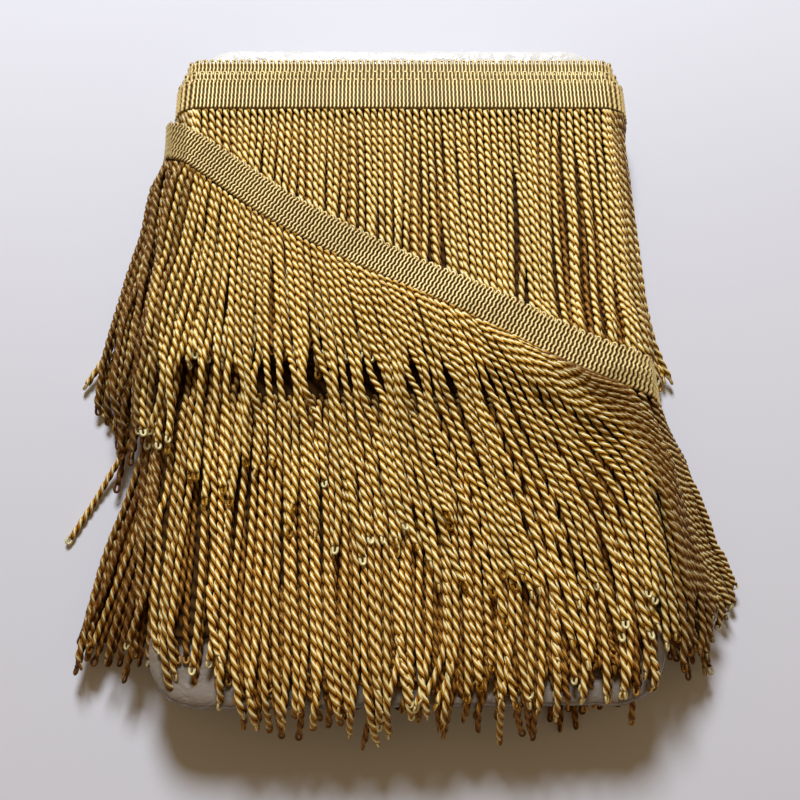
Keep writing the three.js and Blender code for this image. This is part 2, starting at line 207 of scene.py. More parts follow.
def asPattern(bm, length=1.0):
    fibre = bm.verts.layers.float_vector["fibre"]
    bm.verts.index_update()
    pattern = {
        "co": np.array([v.co for v in bm.verts]),
        "fibre": np.array([v[fibre] for v in bm.verts]),
        "loops": np.array([v.index for f in bm.faces for v in f.verts]),
        "sizes": np.array([len(f.verts) for f in bm.faces]),
        "length": length,
    }
    bm.free()
    return pattern


# grows the open edge of a surface by a row, and gives the row's points and edges
def grown(bm, edges):
    made = bmesh.ops.extrude_edge_only(bm, edges=edges)["geom"]
    return ([g for g in made if isinstance(g, bmesh.types.BMVert)],
            [g for g in made if isinstance(g, bmesh.types.BMEdge)])


# grows a closed tube along a line of points; "fibre" keeps the distance along it and the
# direction round it
def tubeAlong(bm, points, radius, sides, crest=0.0):
    points = [Vector(p) for p in points]
    fibre = bm.verts.layers.float_vector["fibre"]
    ring = bmesh.ops.create_circle(bm, cap_ends=True, segments=sides, radius=1)["verts"]
    for v in ring:
        v[fibre] = (0, v.co.x, max(abs(v.co.y), crest))
    edges = list({e for v in ring for e in v.link_edges})
    heading = points[1] - points[0]
    turn = heading.to_track_quat("Z", "Y")
    before = Matrix.Identity(4)
    along = 0
    for i, point in enumerate(points):
        ahead = points[min(i + 1, len(points) - 1)] - points[max(i - 1, 0)]
        turn = heading.rotation_difference(ahead) @ turn
        heading = ahead
        here = Matrix.Translation(point) @ turn.to_matrix().to_4x4() @ Matrix.Scale(radius, 4)
        if i > 0:
            ring, edges = grown(bm, edges)
            along += (point - points[i - 1]).length
            for v in ring:
                v[fibre] = (along, v[fibre][1], v[fibre][2])
        bmesh.ops.transform(bm, matrix=here @ before.inverted(), verts=ring)
        before = here
    bmesh.ops.holes_fill(bm, edges=edges, sides=0)


def twistedCord(length, stepsPerTurn, outline, loopSides):
    bm = bmesh.new()
    fibre = bm.verts.layers.float_vector.new("fibre")
    body = length - cordSet["loopLength"]
    steps = max(int(body / cordSet["twist"] * stepsPerTurn), 2)
    ring = bmesh.ops.create_circle(bm, cap_ends=True, segments=2 * len(outline), radius=1)["verts"]
    for i, v in enumerate(ring):
        share, radius = outline[i % len(outline)]
        angle = 2 * math.pi * (share + 0.5 * (i // len(outline)))
        v.co = (radius * math.sin(angle), radius * math.cos(angle), 0)
        v[fibre] = (0, math.sin(angle), math.cos(angle))
    edges = list(bm.edges)
    move = Matrix.Translation((0, 0, body / steps)) @ Matrix.Rotation(
        2 * math.pi * body / steps / cordSet["twist"], 4, "Z")
    for i in range(steps):
        ring, edges = grown(bm, edges)
        bmesh.ops.transform(bm, matrix=move, verts=ring)
        for v in ring:
            v[fibre] = ((i + 1) * body / steps, v[fibre][1], v[fibre][2])
    bmesh.ops.holes_fill(bm, edges=edges, sides=0)
    t = np.linspace(0, math.pi, cordSet["loopSteps"])
    side = (cordSet["centre"] + cordSet["loopSpread"] * np.sin(t)) * np.cos(t)
    last = -2 * math.pi * body / cordSet["twist"]
    tip = body - cordSet["loopRoot"] + cordSet["loopLength"] * np.sin(t)
    tubeAlong(bm, np.stack([side * math.sin(last), side * math.cos(last), tip], 1),
              cordSet["loopPly"], loopSides, cordSet["loopCrest"])
    bmesh.ops.recalc_face_normals(bm, faces=bm.faces)
    lengthFirst = Matrix(((0, 0, 1, 0), (1, 0, 0, 0), (0, 1, 0, 0), (0, 0, 0, 1)))
    bmesh.ops.transform(bm, matrix=lengthFirst, verts=bm.verts)
    return asPattern(bm, length)


fine = {"stepsPerTurn": 6.5, "outline": cordSet["outline"], "loopSides": 6}
plain = {"stepsPerTurn": 5, "outline": cordSet["plainOutline"], "loopSides": 4}
cordPattern = twistedCord(cordSet["length"], **fine)
plainPattern = twistedCord(cordSet["length"], **plain)
strayPattern = twistedCord(84, **fine)
backPattern = twistedCord(48, **dict(plain, loopSides=5))
print("cord patterns made")


# bends a pattern along a line: its first axis follows the line, the second runs across it
# and the third stands out of the pack
def bentAlong(pattern, points, outward, spin):
    dist = farAlong(*points.T)
    ahead = np.gradient(points, axis=0)
    ahead /= np.linalg.norm(ahead, axis=1)[:, None]
    across = np.cross(ahead, outward)
    across /= np.linalg.norm(across, axis=1)[:, None]
    out = np.cross(across, ahead)
    s, a, b = pattern["co"].T
    a, b = a * math.cos(spin) - b * math.sin(spin), a * math.sin(spin) + b * math.cos(spin)
    s = s * dist[-1] / pattern["length"]
    middle, side, up, along = (np.stack([np.interp(s, dist, line[:, i]) for i in range(3)], 1)
                               for line in (points, across, out, ahead))
    turn = 2 * math.pi / cordSet["twist"]
    ply = along - side * (turn * b)[:, None] + up * (turn * a)[:, None]  # the way its plies run
    return middle + side * a[:, None] + up * b[:, None], ply


# what already lies on a tier, as heights over its flat layout. A cord feels it at a few places
# across, in radii from its middle, and raises it out to its edge.
pileSet = {"cell": 0.8, "u": 200, "yLow": -195, "yHigh": 155, "edge": 0.95,
           "feelers": (-0.85, -0.45, 0, 0.45, 0.85), "soften": (1, 2, 3, 2, 1)}


def newPile(height):
    cell = pileSet["cell"]
    down = int((pileSet["yHigh"] - pileSet["yLow"]) / cell)
    ys = pileSet["yLow"] + (np.arange(down) + 0.5) * cell
    return np.repeat((height(ys) + 0 * ys)[:, None], int(2 * pileSet["u"] / cell), 1)


def pileCells(pile, u, y):
    row = ((y - pileSet["yLow"]) / pileSet["cell"]).astype(int)
    col = ((u + pileSet["u"]) / pileSet["cell"]).astype(int)
    return np.clip(row, 0, pile.shape[0] - 1), np.clip(col, 0, pile.shape[1] - 1)


# the lift of a cord laid over the pile, which is then raised by the cord
def layOn(pile, u, y, press, most):
    radius = cordSet["radius"]
    du, dy = np.gradient(u), np.gradient(y)
    size = np.maximum(np.hypot(du, dy), 1e-9)
    du, dy = du / size, dy / size
    lift = np.full(len(u), -99.0)
    for off in radius * np.array(pileSet["feelers"]):
        under = pile[pileCells(pile, u - off * dy, y + off * du)]
        lift = np.maximum(lift, under + math.sqrt(radius ** 2 - off ** 2))
    lift = np.max([np.pad(lift, 1, mode="edge")[i:i + len(lift)] for i in range(3)], axis=0)
    soften = np.array(pileSet["soften"])
    lift = np.convolve(np.pad(lift, len(soften) // 2, mode="edge"), soften / soften.sum(), "valid")
    lift = np.minimum(lift - press, most)
    denser = np.linspace(0, len(u) - 1, 4 * len(u))
    places = np.arange(len(u))
    fu, fy, fl, fdu, fdy = (np.interp(denser, places, a) for a in (u, y, lift, du, dy))
    for off in radius * np.linspace(-pileSet["edge"], pileSet["edge"], 7):
        np.maximum.at(pile, pileCells(pile, fu - off * fdy, fy + off * fdu),
                      fl + math.sqrt(radius ** 2 - off ** 2))
    return lift


# waves of the drift: strength, size round the pack, times of the seed, lean along the cords
lockWaves = ((0.5, 3.1, 1, 0), (1.0, 5.3, 2, 1 / 90), (0.8, 9.7, 3, -1 / 70))
partingEdge = 1.5


# neighbouring cords drift together into locks, and part where the pack shows through
def drift(u, y, lay):
    moved = lay["locks"] * sum(strength * np.sin(u / size + times * lay["seed"] + leant * y)
                               for strength, size, times, leant in lockWaves)
    for at, middle, wide, tall, push in lay.get("partings", ()):
        away = u - at
        near = np.exp(-(away / wide) ** 2 - ((y - middle) / tall) ** 2)
        moved = moved + push * np.tanh(away / partingEdge) * near
    return moved


# a run goes on past its last place and is cut at its length. Its root holds still and its tail
# turns aside.
runSet = {"past": 0.6, "step": 2.0, "ease": 6, "wave": 2.2, "tailFrom": 0.75, "tailOver": 0.06,
          "rootHold": 1.6, "places": 68}


# a cord's run over the flat layout, from its root by the places named to its tip, at its
# real length
def cordRun(tier, places, length, lay):
    q, y = np.array(places).T
    u = roundAt(tier, q, y)
    past = runSet["past"]
    u, y = (np.append(a, (1 + past) * a[-1] - past * a[-2]) for a in (u, y))
    dist = farAlong(u, y)
    at = np.arange(0, dist[-1], runSet["step"])
    u, y = np.interp(at, dist, u), np.interp(at, dist, y)
    if len(places) > 2:
        u, y = eased(u, runSet["ease"]), eased(y, runSet["ease"])
    share = at / length
    waves = chance.normal(0, 1, 3)
    bend = sum(w * np.sin((i + 1) * runSet["wave"] * share + 6 * w) / (i + 1)
               for i, w in enumerate(waves))
    tail = chance.normal() * np.maximum(share - runSet["tailFrom"], 0) ** 2 / runSet["tailOver"]
    aside = drift(u, y, lay) + lay["wander"] * bend
    u = u + aside * np.minimum(runSet["rootHold"] * share, 1) + lay["tail"] * tail
    dist = farAlong(u, y)
    at = np.linspace(0, min(length, dist[-1]), runSet["places"])
    return np.interp(at, dist, u), np.interp(at, dist, y)


# a cord comes off the pile to its root, is turned a little further than the cord before it, and
# has painted shade down the flanks
laySet = {"rootEase": 10, "spin": 0.25, "spinBy": 0.55,
          "flankFrom": 0.95, "flankOver": 0.4, "flankShade": 1.5}


# lays cords on a tier and gives each as its pattern, its points and its shade
def layCords(tier, pile, cords, pattern, lay):
    parts = []
    for number, places, length in cords:
        u, y = cordRun(tier, places, length, lay)
        lift = layOn(pile, u, y, lay["press"], lay["cap"])
        near = np.clip(1 - np.linspace(0, length, len(u)) / laySet["rootEase"], 0, 1)
        lift = lift * (1 - near) + lay["rootLift"] * near
        points, out = onPack(tier, u, y, lift)
        points[:, 2] = np.maximum(points[:, 2], cordSet["radius"])
        spin = laySet["spin"] * number + chance.normal(0, laySet["spinBy"])
        bent, ply = bentAlong(pattern, points, out, spin)
        # painted shade on the cords down the flanks, given as a shade under 0
        flank = (abs(places[-1][0]) - laySet["flankFrom"]) / laySet["flankOver"]
        shade = chance.random() - laySet["flankShade"] * min(max(flank, 0), 1)
        parts.append((pattern, bent, shade, ply))
    return parts


# roots and tips of the cords along a heading that runs level round the pack, and down its sides
# as far as the q given as most
def levelCords(tier, rootAt, tipAt, onSide, uneven, most=1.97, offset=0.0):
    flat = roundAt(tier, 1.0, rootAt(1.0))[0]
    onTop = int(flat / cordSet["spacing"])
    places = [((i + offset) * cordSet["spacing"]) / flat for i in range(-onTop, onTop + 1)]
    gap, power = 0.6, 1.2  # of the places down a side
    shares = [((i + gap + offset) / (onSide + gap)) ** power for i in range(onSide)]
    places += [side * (1 + (most - 1) * share) for side in (-1, 1) for share in shares]
    cords = []
    for number, q in enumerate(sorted(places)):
        tipQ, tipY = tipAt(q)
        length = cordSet["length"] + chance.normal(0, uneven)
        cords.append((number, [(q, rootAt(q)), (tipQ, tipY)], length))
    chance.shuffle(cords)
    return cords


def asPiece(name, mesh, finish, node):
    mesh.shade_smooth()
    mesh.materials.append(finish)
    piece = linkedObject(name, mesh)
    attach(piece, "root")
    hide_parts(node)
    return piece


# one mesh of many bent patterns, all of them above the table
def joinedPiece(name, parts, finish, node):
    co = np.concatenate([p[1] for p in parts]) + [shiftX, shiftY, 0]
    co[:, 2] = np.maximum(co[:, 2], 0.02)
    counts = [len(p[1]) for p in parts]
    starts = np.concatenate([[0], np.cumsum(counts)[:-1]])
    loops = np.concatenate([p[0]["loops"] + at for p, at in zip(parts, starts)])
    sizes = np.concatenate([p[0]["sizes"] for p in parts])
    mesh = bpy.data.meshes.new(name)
    mesh.vertices.add(len(co))
    mesh.vertices.foreach_set("co", (co * mm).astype(np.float32).ravel())
    mesh.loops.add(len(loops))
    mesh.loops.foreach_set("vertex_index", loops.astype(np.int32))
    mesh.polygons.add(len(sizes))
    firsts = np.concatenate([[0], np.cumsum(sizes)[:-1]])
    mesh.polygons.foreach_set("loop_start", firsts.astype(np.int32))
    mesh.update(calc_edges=True)
    kept = [("fibre", "FLOAT_VECTOR", "vector", np.concatenate([p[0]["fibre"] for p in parts])),
            ("shade", "FLOAT", "value", np.repeat([p[2] for p in parts], counts))]
    if len(parts[0]) > 3:
        kept.append(("ply", "FLOAT_VECTOR", "vector", np.concatenate([p[3] for p in parts])))
    for attribute, kind, field, values in kept:
        made = mesh.attributes.new(attribute, kind, "POINT")
        made.data.foreach_set(field, values.astype(np.float32).ravel())
    print(name, "has", len(parts), "parts and", int((sizes - 2).sum()), "triangles")
    return asPiece(name, mesh, finish, node)


# a piece from a bmesh that is drawn in millimetres from the card's middle
def bmeshPiece(name, bm, finish, node):
    bmesh.ops.recalc_face_normals(bm, faces=bm.faces)
    bmesh.ops.transform(bm, verts=bm.verts,
                        matrix=Matrix.Scale(mm, 4) @ Matrix.Translation((shiftX, shiftY, 0)))
    mesh = bpy.data.meshes.new(name)
    bm.to_mesh(mesh)
    bm.free()
    print(name, "made")
    return asPiece(name, mesh, finish, node)


def newFinish(name):
    made = bpy.data.materials.new(name)
    made.use_nodes = True
    return made, made.node_tree.nodes, made.node_tree.links


def setInputs(node, values):
    for name, value in values.items():
        node.inputs[name].default_value = value


def mathNode(nodes, links, operation, first, second):
    node = nodes.new("ShaderNodeMath")
    node.operation = operation
    for socket, value in zip(node.inputs, (first, second)):
        if isinstance(value, (int, float)):
            socket.default_value = value
        else:
            links.new(value, socket)
    return node.outputs["Value"]


def colourMix(nodes, links, factor, first, second):
    mix = nodes.new("ShaderNodeMix")
    mix.data_type = "RGBA"
    links.new(factor, mix.inputs["Factor"])
    for name, value in (("A", first), ("B", second)):
        if isinstance(value, tuple):
            mix.inputs[name].default_value = (*value, 1)
        else:
            links.new(value, mix.inputs[name])
    return mix.outputs["Result"]


def rangeNode(nodes, links, value, low, high):
    node = nodes.new("ShaderNodeMapRange")
    node.interpolation_type = "SMOOTHSTEP"
    setInputs(node, {"From Min": low, "From Max": high})
    links.new(value, node.inputs["Value"])
    return node.outputs["Result"]


# a noise over the piece's own place, or over the vector given
def noiseNode(nodes, links, scale, detail=2, distortion=0, vector=None):
    node = nodes.new("ShaderNodeTexNoise")
    setInputs(node, {"Scale": scale, "Detail": detail, "Distortion": distortion})
    if vector is None:
        vector = nodes.new("ShaderNodeTexCoord").outputs["Object"]
    links.new(vector, node.inputs["Vector"])
    return node.outputs["Fac"]


def bumpNode(nodes, links, height, strength, distance):
    node = nodes.new("ShaderNodeBump")
    setInputs(node, {"Strength": strength, "Distance": distance})
    links.new(height, node.inputs["Height"])
    return node.outputs["Normal"]


def attributeNode(nodes, name):
    node = nodes.new("ShaderNodeAttribute")
    node.attribute_name = name
    return node


yarnSet = {
    "stretch": (0.10, 2.2, 2.2), "scale": 3.6, "detail": 3,  # of the filaments
    "uneven": 0.36,  # how far the filaments move the edges of the colours
    "bodyFrom": 0.10, "bodyTo": 0.62, "highlightEdge": 0.07,  # shares of a ply's height
    # a shade under 0 paints shade on a cord: it darkens it, narrows its painted highlight line and
    # dims it
    "paintedShadeStrength": 0.52, "paintedShadeNarrowing": 0.12, "paintedShadeFading": 0.5,
    "paintedShadeBody": (0.17, 0.050, 0.005), "paintedShadeLine": (0.20, 0.055, 0.006),
    "toneFrom": 0.9, "toneBy": 0.2,  # brightness from cord to cord, lower under the painted shade
    "bump": 0.17, "bumpHeight": 0.00015,
    "specular": 0.35, "specularTint": (1.0, 0.80, 0.45, 1),
}


# satin yarn: painted shade down in the grooves, and a painted highlight line along each ply,
# which leans some degrees to one side of the crest, the side towards the light
def yarnFinish(name, line, body, grooveShade, rough, highlightFrom, lean=32, metal=0.12, stretched=0.8):
    made, nodes, links = newFinish(name)
    shader = nodes["Principled BSDF"]
    fibre = attributeNode(nodes, "fibre").outputs["Vector"]
    shade = attributeNode(nodes, "shade").outputs["Fac"]
    stretch = nodes.new("ShaderNodeMapping")
    stretch.inputs["Scale"].default_value = yarnSet["stretch"]
    links.new(fibre, stretch.inputs["Vector"])
    filaments = noiseNode(nodes, links, yarnSet["scale"], yarnSet["detail"],
                          vector=stretch.outputs["Vector"])
    facing = nodes.new("ShaderNodeVectorMath")
    facing.operation = "DOT_PRODUCT"
    lean = math.radians(lean)
    facing.inputs[1].default_value = (0, -math.sin(lean), math.cos(lean))
    links.new(fibre, facing.inputs[0])
    height = mathNode(nodes, links, "ABSOLUTE", facing.outputs["Value"], 0)
    uneven = mathNode(nodes, links, "MULTIPLY_ADD", filaments, yarnSet["uneven"])
    uneven.node.inputs[2].default_value = -yarnSet["uneven"] / 2
    height = mathNode(nodes, links, "ADD", height, uneven)
    onBody = rangeNode(nodes, links, height, yarnSet["bodyFrom"], yarnSet["bodyTo"])
    low = colourMix(nodes, links, onBody, grooveShade, body)
    # painted shade where a cord's shade is under 0
    paintedShadeShare = mathNode(nodes, links, "MULTIPLY", shade, -yarnSet["paintedShadeStrength"])
    paintedShadeShare.node.use_clamp = True
    low = colourMix(nodes, links, paintedShadeShare, low, yarnSet["paintedShadeBody"])
    narrow = mathNode(nodes, links, "MULTIPLY_ADD", paintedShadeShare, -yarnSet["paintedShadeNarrowing"])
    links.new(height, narrow.node.inputs[2])
    # the painted highlight line along each ply
    onHighlight = rangeNode(nodes, links, narrow, highlightFrom, highlightFrom + yarnSet["highlightEdge"])
    full = colourMix(nodes, links, onHighlight, low, line)
    faded = mathNode(nodes, links, "MULTIPLY", paintedShadeShare, yarnSet["paintedShadeFading"])
    full = colourMix(nodes, links, faded, full, yarnSet["paintedShadeLine"])
    tone = nodes.new("ShaderNodeHueSaturation")
    value = mathNode(nodes, links, "MULTIPLY_ADD", shade, yarnSet["toneBy"])
    value.node.inputs[2].default_value = yarnSet["toneFrom"]
    links.new(value, tone.inputs["Value"])
    links.new(full, tone.inputs["Color"])
    links.new(tone.outputs["Color"], shader.inputs["Base Color"])
    normal = bumpNode(nodes, links, filaments, yarnSet["bump"], yarnSet["bumpHeight"])
    links.new(normal, shader.inputs["Normal"])
    if stretched:  # the sheen runs along the plies
        links.new(attributeNode(nodes, "ply").outputs["Vector"], shader.inputs["Tangent"])
        shader.inputs["Anisotropic"].default_value = stretched
    setInputs(shader, {"Roughness": rough, "Metallic": metal,
                       "Specular IOR Level": yarnSet["specular"],
                       "Specular Tint": yarnSet["specularTint"]})
    return made


# one yarn in lit and shaded copies: the upper tier painted lighter, being nearer the light, the
# lower tier darker
litUpperYarn = yarnFinish("cord yarn painted lighter", line=(1.0, 0.93, 0.52), body=(0.84, 0.50, 0.075),
                      grooveShade=(0.10, 0.030, 0.003), rough=0.50, highlightFrom=0.82)
cordYarn = yarnFinish("gold cord yarn", line=(1.0, 0.92, 0.50), body=(0.70, 0.37, 0.035),
                      grooveShade=(0.07, 0.019, 0.002), rough=0.50, highlightFrom=0.85)
shadedLowerYarn = yarnFinish("cord yarn painted darker", line=(1.0, 0.90, 0.46), body=(0.60, 0.275, 0.022),
                      grooveShade=(0.06, 0.015, 0.001), rough=0.50, highlightFrom=0.86)
# the yarn of the cords underneath, painted dark as shade
innerShadeYarn = yarnFinish("shaded cord yarn", line=(0.55, 0.30, 0.07), body=(0.32, 0.13, 0.015),
                     grooveShade=(0.04, 0.012, 0.001), rough=0.50, highlightFrom=0.86)
# the heading's ribs carry the same painted highlight on their crests and painted shade in their
# grooves
ribYarn = yarnFinish("heading yarn", line=(0.92, 0.76, 0.38), body=(0.50, 0.33, 0.09),
                     grooveShade=(0.14, 0.08, 0.015), rough=0.45, highlightFrom=0.70,
                     lean=0, metal=0.15, stretched=0)

looseSet = {"places": 70, "ease": 5, "spinBy": 0.6, "shaded": 0.4}


# a cord that lies free of the pack, through the places given
def looseCord(pattern, places, outward=(0, 0, 1)):
    dist = farAlong(*np.array(places, float).T)
    at = np.linspace(0, dist[-1], looseSet["places"])
    lines = [np.interp(at, dist, axis) for axis in np.array(places, float).T]
    points = np.stack([eased(eased(line, looseSet["ease"]), looseSet["ease"]) for line in lines], 1)
    points[:, 2] = np.maximum(points[:, 2], cordSet["radius"])
    out = np.tile(np.array(outward, float), (len(points), 1))
    bent, ply = bentAlong(pattern, points, out, chance.normal(0, looseSet["spinBy"]))
    return pattern, bent, chance.random() - looseSet["shaded"], ply


# upper tier. A lay says how its cords drift, how firmly they press into the pile, how high they
# may ride and how high their roots are.
upperLay = {"locks": 1.35, "seed": 1.7, "wander": 1.0, "tail": 1.0,
            "press": 0.2, "cap": 3.0, "rootLift": 4.4}
upperUnder = dict(upperLay, locks=0.7, seed=4.0, press=0.4, cap=0.2, rootLift=0.5)
upperSet = {"innerRoot": 121, "innerTip": -20, "innerSide": 10, "root": 117, "tip": -22, "side": 11,
            "uneven": 2.0, "sway": 0.02}
between = 0.4  # where the inner cords lie between the outer ones, as a share of the spacing


def upperTip(q):
    return q + upperSet["sway"] * math.sin(5 * q + 0.8), upperSet["tip"]


upperPile = newPile(lambda y: np.interp(y, [98, 112], [-3.2, 0.6]))
cords = levelCords(upperTier, lambda q: upperSet["innerRoot"], lambda q: (q, upperSet["innerTip"]),
                   upperSet["innerSide"], upperSet["uneven"], offset=between)
upperInner = layCords(upperTier, upperPile, cords, plainPattern, upperUnder)
cords = levelCords(upperTier, lambda q: upperSet["root"], upperTip, upperSet["side"],
                   upperSet["uneven"])
upperOuter = layCords(upperTier, upperPile, cords, cordPattern, upperLay)
# cords at the right foot that stand away from the pack
upperOuter += [looseCord(plainPattern, places, (0.7, 0, 0.7)) for places in (
    ((108, 114, 26), (110.5, 80, 22), (112.5, 40, 19),
     (115, 14, 15), (121, -2, 8.5), (128.5, -15, 3)),
    ((108, 114, 22), (111, 80, 18), (114, 40, 14),
     (117, 14, 12), (121.5, -3, 7), (124.5, -15, 3.5)),
    ((108, 114, 18), (111, 80, 14), (114.5, 40, 10),
     (118, 14, 9), (120.5, -4, 7), (121.5, -19, 4)),
    ((108, 114, 28), (109.5, 80, 26), (111.5, 40, 24),
     (113.5, 14, 20), (116.5, -4, 14), (119, -18, 8)),
    ((108, 114, 30), (109, 80, 29), (110.5, 40, 28),
     (112, 14, 25), (114, -4, 20), (115.5, -17, 14)))]
print("upper tier laid")

# lower tier, whose cords lean outwards near the edges and droop over the near end
lowerLay = {"locks": 1.2, "seed": 2.9, "wander": 1.1, "tail": 4.0,
            "press": 0.2, "cap": 3.2, "rootLift": -3.0}
lowerUnder = dict(lowerLay, locks=0.8, seed=0.4, tail=4.5, press=0.4, cap=0.2, rootLift=-5.0)
endLay = dict(lowerUnder, cap=-0.6, rootLift=-4.0)
# y of the roots and tips at the corners, and how much nearer they are in the middle
lowerSet = {"root": -8, "tip": -142, "innerRootBy": 22, "innerTipBy": 21, "innerSide": 7,
            "rootBy": 18, "tipBy": 14, "side": 9, "most": 2.06, "uneven": 5.0}
endSet = {"from": -0.70, "to": 0.94, "step": 0.0175, "root": -112, "tip": -138, "fan": 1.03,
          "length": 26, "reach": 16, "uneven": 3.0}
leanRows = np.array(((0, 0), (0.45, 0.45), (0.8, 0.88), (1, 1.2), (1.5, 1.66), (2, 1.98)))
middleRows = np.array(((-0.80, 0), (-0.66, 1), (0.45, 1), (0.6, 0.72), (0.86, 0.6), (1.0, 0)))


# how a lower cord's tip moves out across the shoulder, where the side grows wider
def leanOut(q):
    return math.copysign(np.interp(abs(q), *leanRows.T), q)


# 1 for the cords that reach over the card's near end, 0 for those at its corners
def middleOf(q):
    return float(np.interp(q, *middleRows.T))


def lowerCordsOf(rootBy, tipBy, onSide, **options):
    return levelCords(lowerTier, lambda q: lowerSet["root"] - rootBy * middleOf(q),
                      lambda q: (leanOut(q), lowerSet["tip"] - tipBy * middleOf(q)),
                      onSide, lowerSet["uneven"], **options)


lowerPile = newPile(lambda y: np.interp(y, [-135, -128], [-4.6, -3.2]))
endCords = []  # ends of the turns below, under the outer cords' own ends
for q in np.arange(endSet["from"], endSet["to"], endSet["step"]):
    reach = endSet["reach"] * middleOf(q)
    run = [(q, endSet["root"]), (endSet["fan"] * q, endSet["tip"] - reach)]
    length = endSet["length"] + reach + chance.normal(0, endSet["uneven"])
    endCords.append((len(endCords), run, length))
lowerInner = layCords(lowerTier, lowerPile, endCords, backPattern, endLay)
cords = lowerCordsOf(lowerSet["innerRootBy"], lowerSet["innerTipBy"], lowerSet["innerSide"],
                     offset=between)
lowerInner += layCords(lowerTier, lowerPile, cords, plainPattern, lowerUnder)
cords = lowerCordsOf(lowerSet["rootBy"], lowerSet["tipBy"], lowerSet["side"], most=lowerSet["most"])
lowerOuter = layCords(lowerTier, lowerPile, cords, cordPattern, lowerLay)
# the stray cord on the left, and the cords of the back that reach out on the table
lowerOuter.append(looseCord(strayPattern, ((-112, -22, 16), (-118, -34, 12), (-129, -48, 6),
                                          (-141, -70, 1.7), (-151.5, -89, 1.7))))
backSet = {"from": -98, "to": 98, "step": 3.9, "start": -112, "knee": -135, "end": -152,
           "aside": -4, "asideBy": 3, "reachBy": 4.5}
for x in np.arange(backSet["from"], backSet["to"], backSet["step"]):
    aside = chance.normal(backSet["aside"], backSet["asideBy"])
    end = backSet["end"] + chance.normal(0, backSet["reachBy"])
    lowerInner.append(looseCord(backPattern, ((x, backSet["start"], 6),
                                              (x + 0.3 * aside, backSet["knee"], 3.5),
                                              (x + aside, end, 1.7))))
# the bundle of ends in front of the near end
for tip in ((57, -158, 5), (60, -166, 2), (64, -170, 1.7), (68, -162, 4), (71, -169, 1.7),
            (74, -163, 3), (82, -158, 1.7), (90, -160, 1.7)):
    x = tip[0]
    places = ((0.5 * x + 36, -124, 4), (0.6 * x + 27, -142, 6), tip)
    lowerInner.append(looseCord(backPattern, places))
print("lower tier laid")

# the crossing turn
turnRows = np.array((  # q of the heading's upper edge, its y, and the q and y where its cord ends
    (-1.95, 112, -1.98, -10),
    (-1.5, 112, -1.84, -24),
    (-1, 106, -1.5, -44),
    (-0.76, 86, -0.98, -62),
    (-0.49, 65, -0.48, -90),
    (-0.02, 37.5, 0.21, -116),
    (0.43, 14, 0.85, -136),
    (0.75, -4, 1.42, -139),
    (1, -14.5, 1.72, -130),
    (1.4, -19, 1.92, -122),
    (1.95, -20, 1.98, -107),
))
# past the flank's q cords ride up on each other. From bendFrom on they run more and more along
# the heading, and from footFrom on they end at the foot.
crossingSet = {"width": 16.2, "below": 0.3, "ease": 6, "easeWay": 15, "flank": 0.95,
               "flankSpacing": 1.6, "innerShift": 1.8, "bendFrom": 0.3, "bendOver": 0.5,
               "footFrom": 0.6, "uneven": 8.5, "unevenFoot": 4.0}
edgeQ = np.linspace(turnRows[0, 0], turnRows[-1, 0], 240)
edgeY = eased(np.interp(edgeQ, turnRows[:, 0], turnRows[:, 1]), crossingSet["ease"], "edge")
edgeU = roundAt(crossingBed, edgeQ, edgeY)
edgeAt = farAlong(edgeU, edgeY)
edgeDu, edgeDy = (eased(np.gradient(line, edgeAt), crossingSet["easeWay"], "edge")
                  for line in (edgeU, edgeY))


# a place on the crossing heading: a along its upper edge, v down across it
def onCrossing(a, v):
    u, y, du, dy = (np.interp(a, edgeAt, line) for line in (edgeU, edgeY, edgeDu, edgeDy))
    size = np.hypot(du, dy)
    return u + v * dy / size, y - v * du / size


# partings over the step, by u and how far the cords move, and longer ones at the left
stepPartings = ((-107, 4.2), (-93, 4.0), (-84, 2.0), (-74, 4.6), (-58, 2.8), (-51.5, 3.6),
                (-37, 4.2), (-25, 1.8), (-15, 4.0), (4, 3.6), (18, 2.6), (36, 3.6))
leftPartings = ((-101, 48, 12, 34, 2.6), (-84, 60, 8, 26, 1.4),
                (-117, 40, 8, 36, 2.2), (-130, 20, 9, 34, 2.0))
crossingLay = {
    "locks": 1.2, "seed": 5.2, "wander": 1.0, "tail": 2.6,
    "press": 0.2, "cap": 5.2, "rootLift": 1.5,
    # u, y, how wide and tall, and how far the cords move
    "partings": [(u, -29.5, 6.5, 15, push) for u, push in stepPartings] + list(leftPartings),
}
crossingUnder = dict(crossingLay, seed=2.2, press=0.4, cap=-1.0, rootLift=-1.5, partings=[])
# q, and the y where a cord that starts there bends down at the right shoulder
shoulderRows = np.array(((0.3, -88), (0.5, -74), (0.6, -64), (0.75, -51), (0.9, -41), (1.0, -37)))


